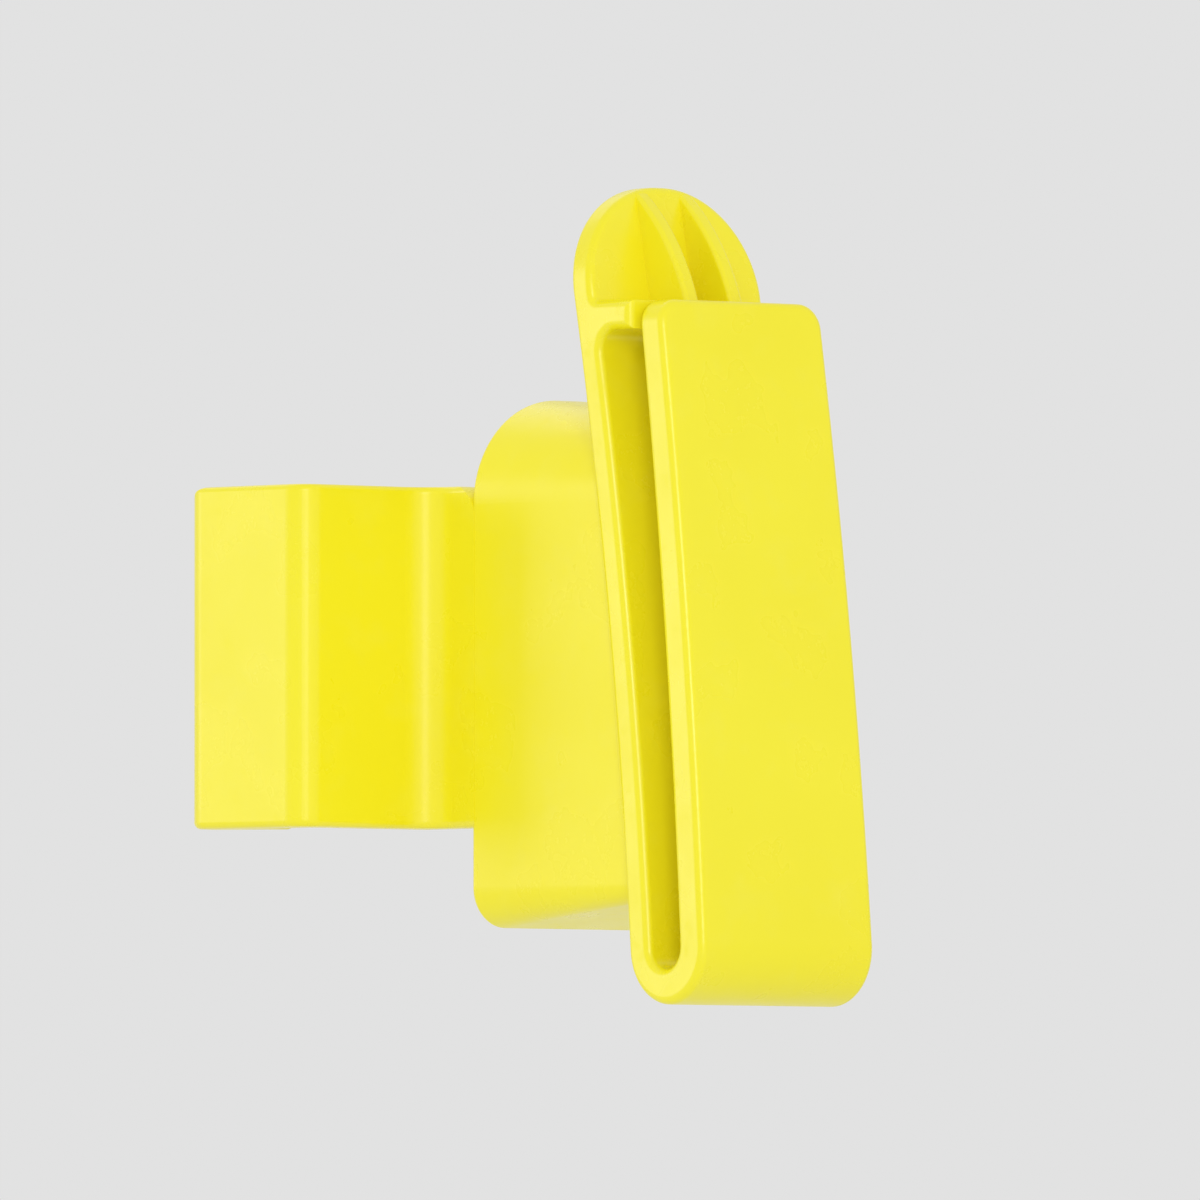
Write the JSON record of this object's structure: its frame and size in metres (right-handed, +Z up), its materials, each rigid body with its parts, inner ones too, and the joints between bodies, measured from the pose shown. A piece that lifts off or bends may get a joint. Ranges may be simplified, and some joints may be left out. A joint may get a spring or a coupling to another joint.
{
  "type": "fence insulator",
  "caption": "Clip-on insulator that holds electric fence tape in a latching loop, stood off a steel T-post by a hollow neck with sprung claws.",
  "frame": {"origin": "centre of the saddle's rear face, which lies on the post's studded face", "axes": "+Z up the post, +Y into the post, -Y towards the tape, +X to the right seen from the front"},
  "size_m": [0.0442, 0.0429, 0.0603],
  "materials": {
    "yellow_polyethylene": "semi-gloss, moulded in one colour"
  },
  "bodies": {
    "clip_body": {"saddle": "yellow_polyethylene", "standoff_neck": "yellow_polyethylene", "rear_plate": "yellow_polyethylene", "hinge_bend": "yellow_polyethylene"},
    "gate": {"tape_gate": "yellow_polyethylene", "gate_hook": "yellow_polyethylene"},
    "latch": {"latch_shelf": "yellow_polyethylene", "thumb_tab": "yellow_polyethylene", "tab_ribs": "yellow_polyethylene"},
    "left_claw": {"left_claw": "yellow_polyethylene"},
    "right_claw": {"right_claw": "yellow_polyethylene"}
  },
  "joints": [
    {"name": "gate_swing", "type": "hinge", "parent": "clip_body", "child": "gate", "pos_m": [0, -0.02904, -0.02363], "axis": [1, 0, 0], "range_deg": [0, 75], "stiffness_Nm_per_rad": 0.4, "deforming": ["hinge_bend", "gate_hook"]},
    {"name": "latch_flex", "type": "hinge", "parent": "clip_body", "child": "latch", "pos_m": [0, -0.01897, 0.0225], "axis": [-1, 0, 0], "range_deg": [0, 12], "stiffness_Nm_per_rad": 0.8},
    {"name": "left_claw_flex", "type": "hinge", "parent": "clip_body", "child": "left_claw", "pos_m": [-0.0176, -0.003, 0], "axis": [0, 0, 1], "range_deg": [0, 18], "stiffness_Nm_per_rad": 1.2},
    {"name": "right_claw_flex", "type": "hinge", "parent": "clip_body", "child": "right_claw", "pos_m": [0.0176, -0.003, 0], "axis": [0, 0, -1], "range_deg": [0, 18], "stiffness_Nm_per_rad": 1.2}
  ]
}
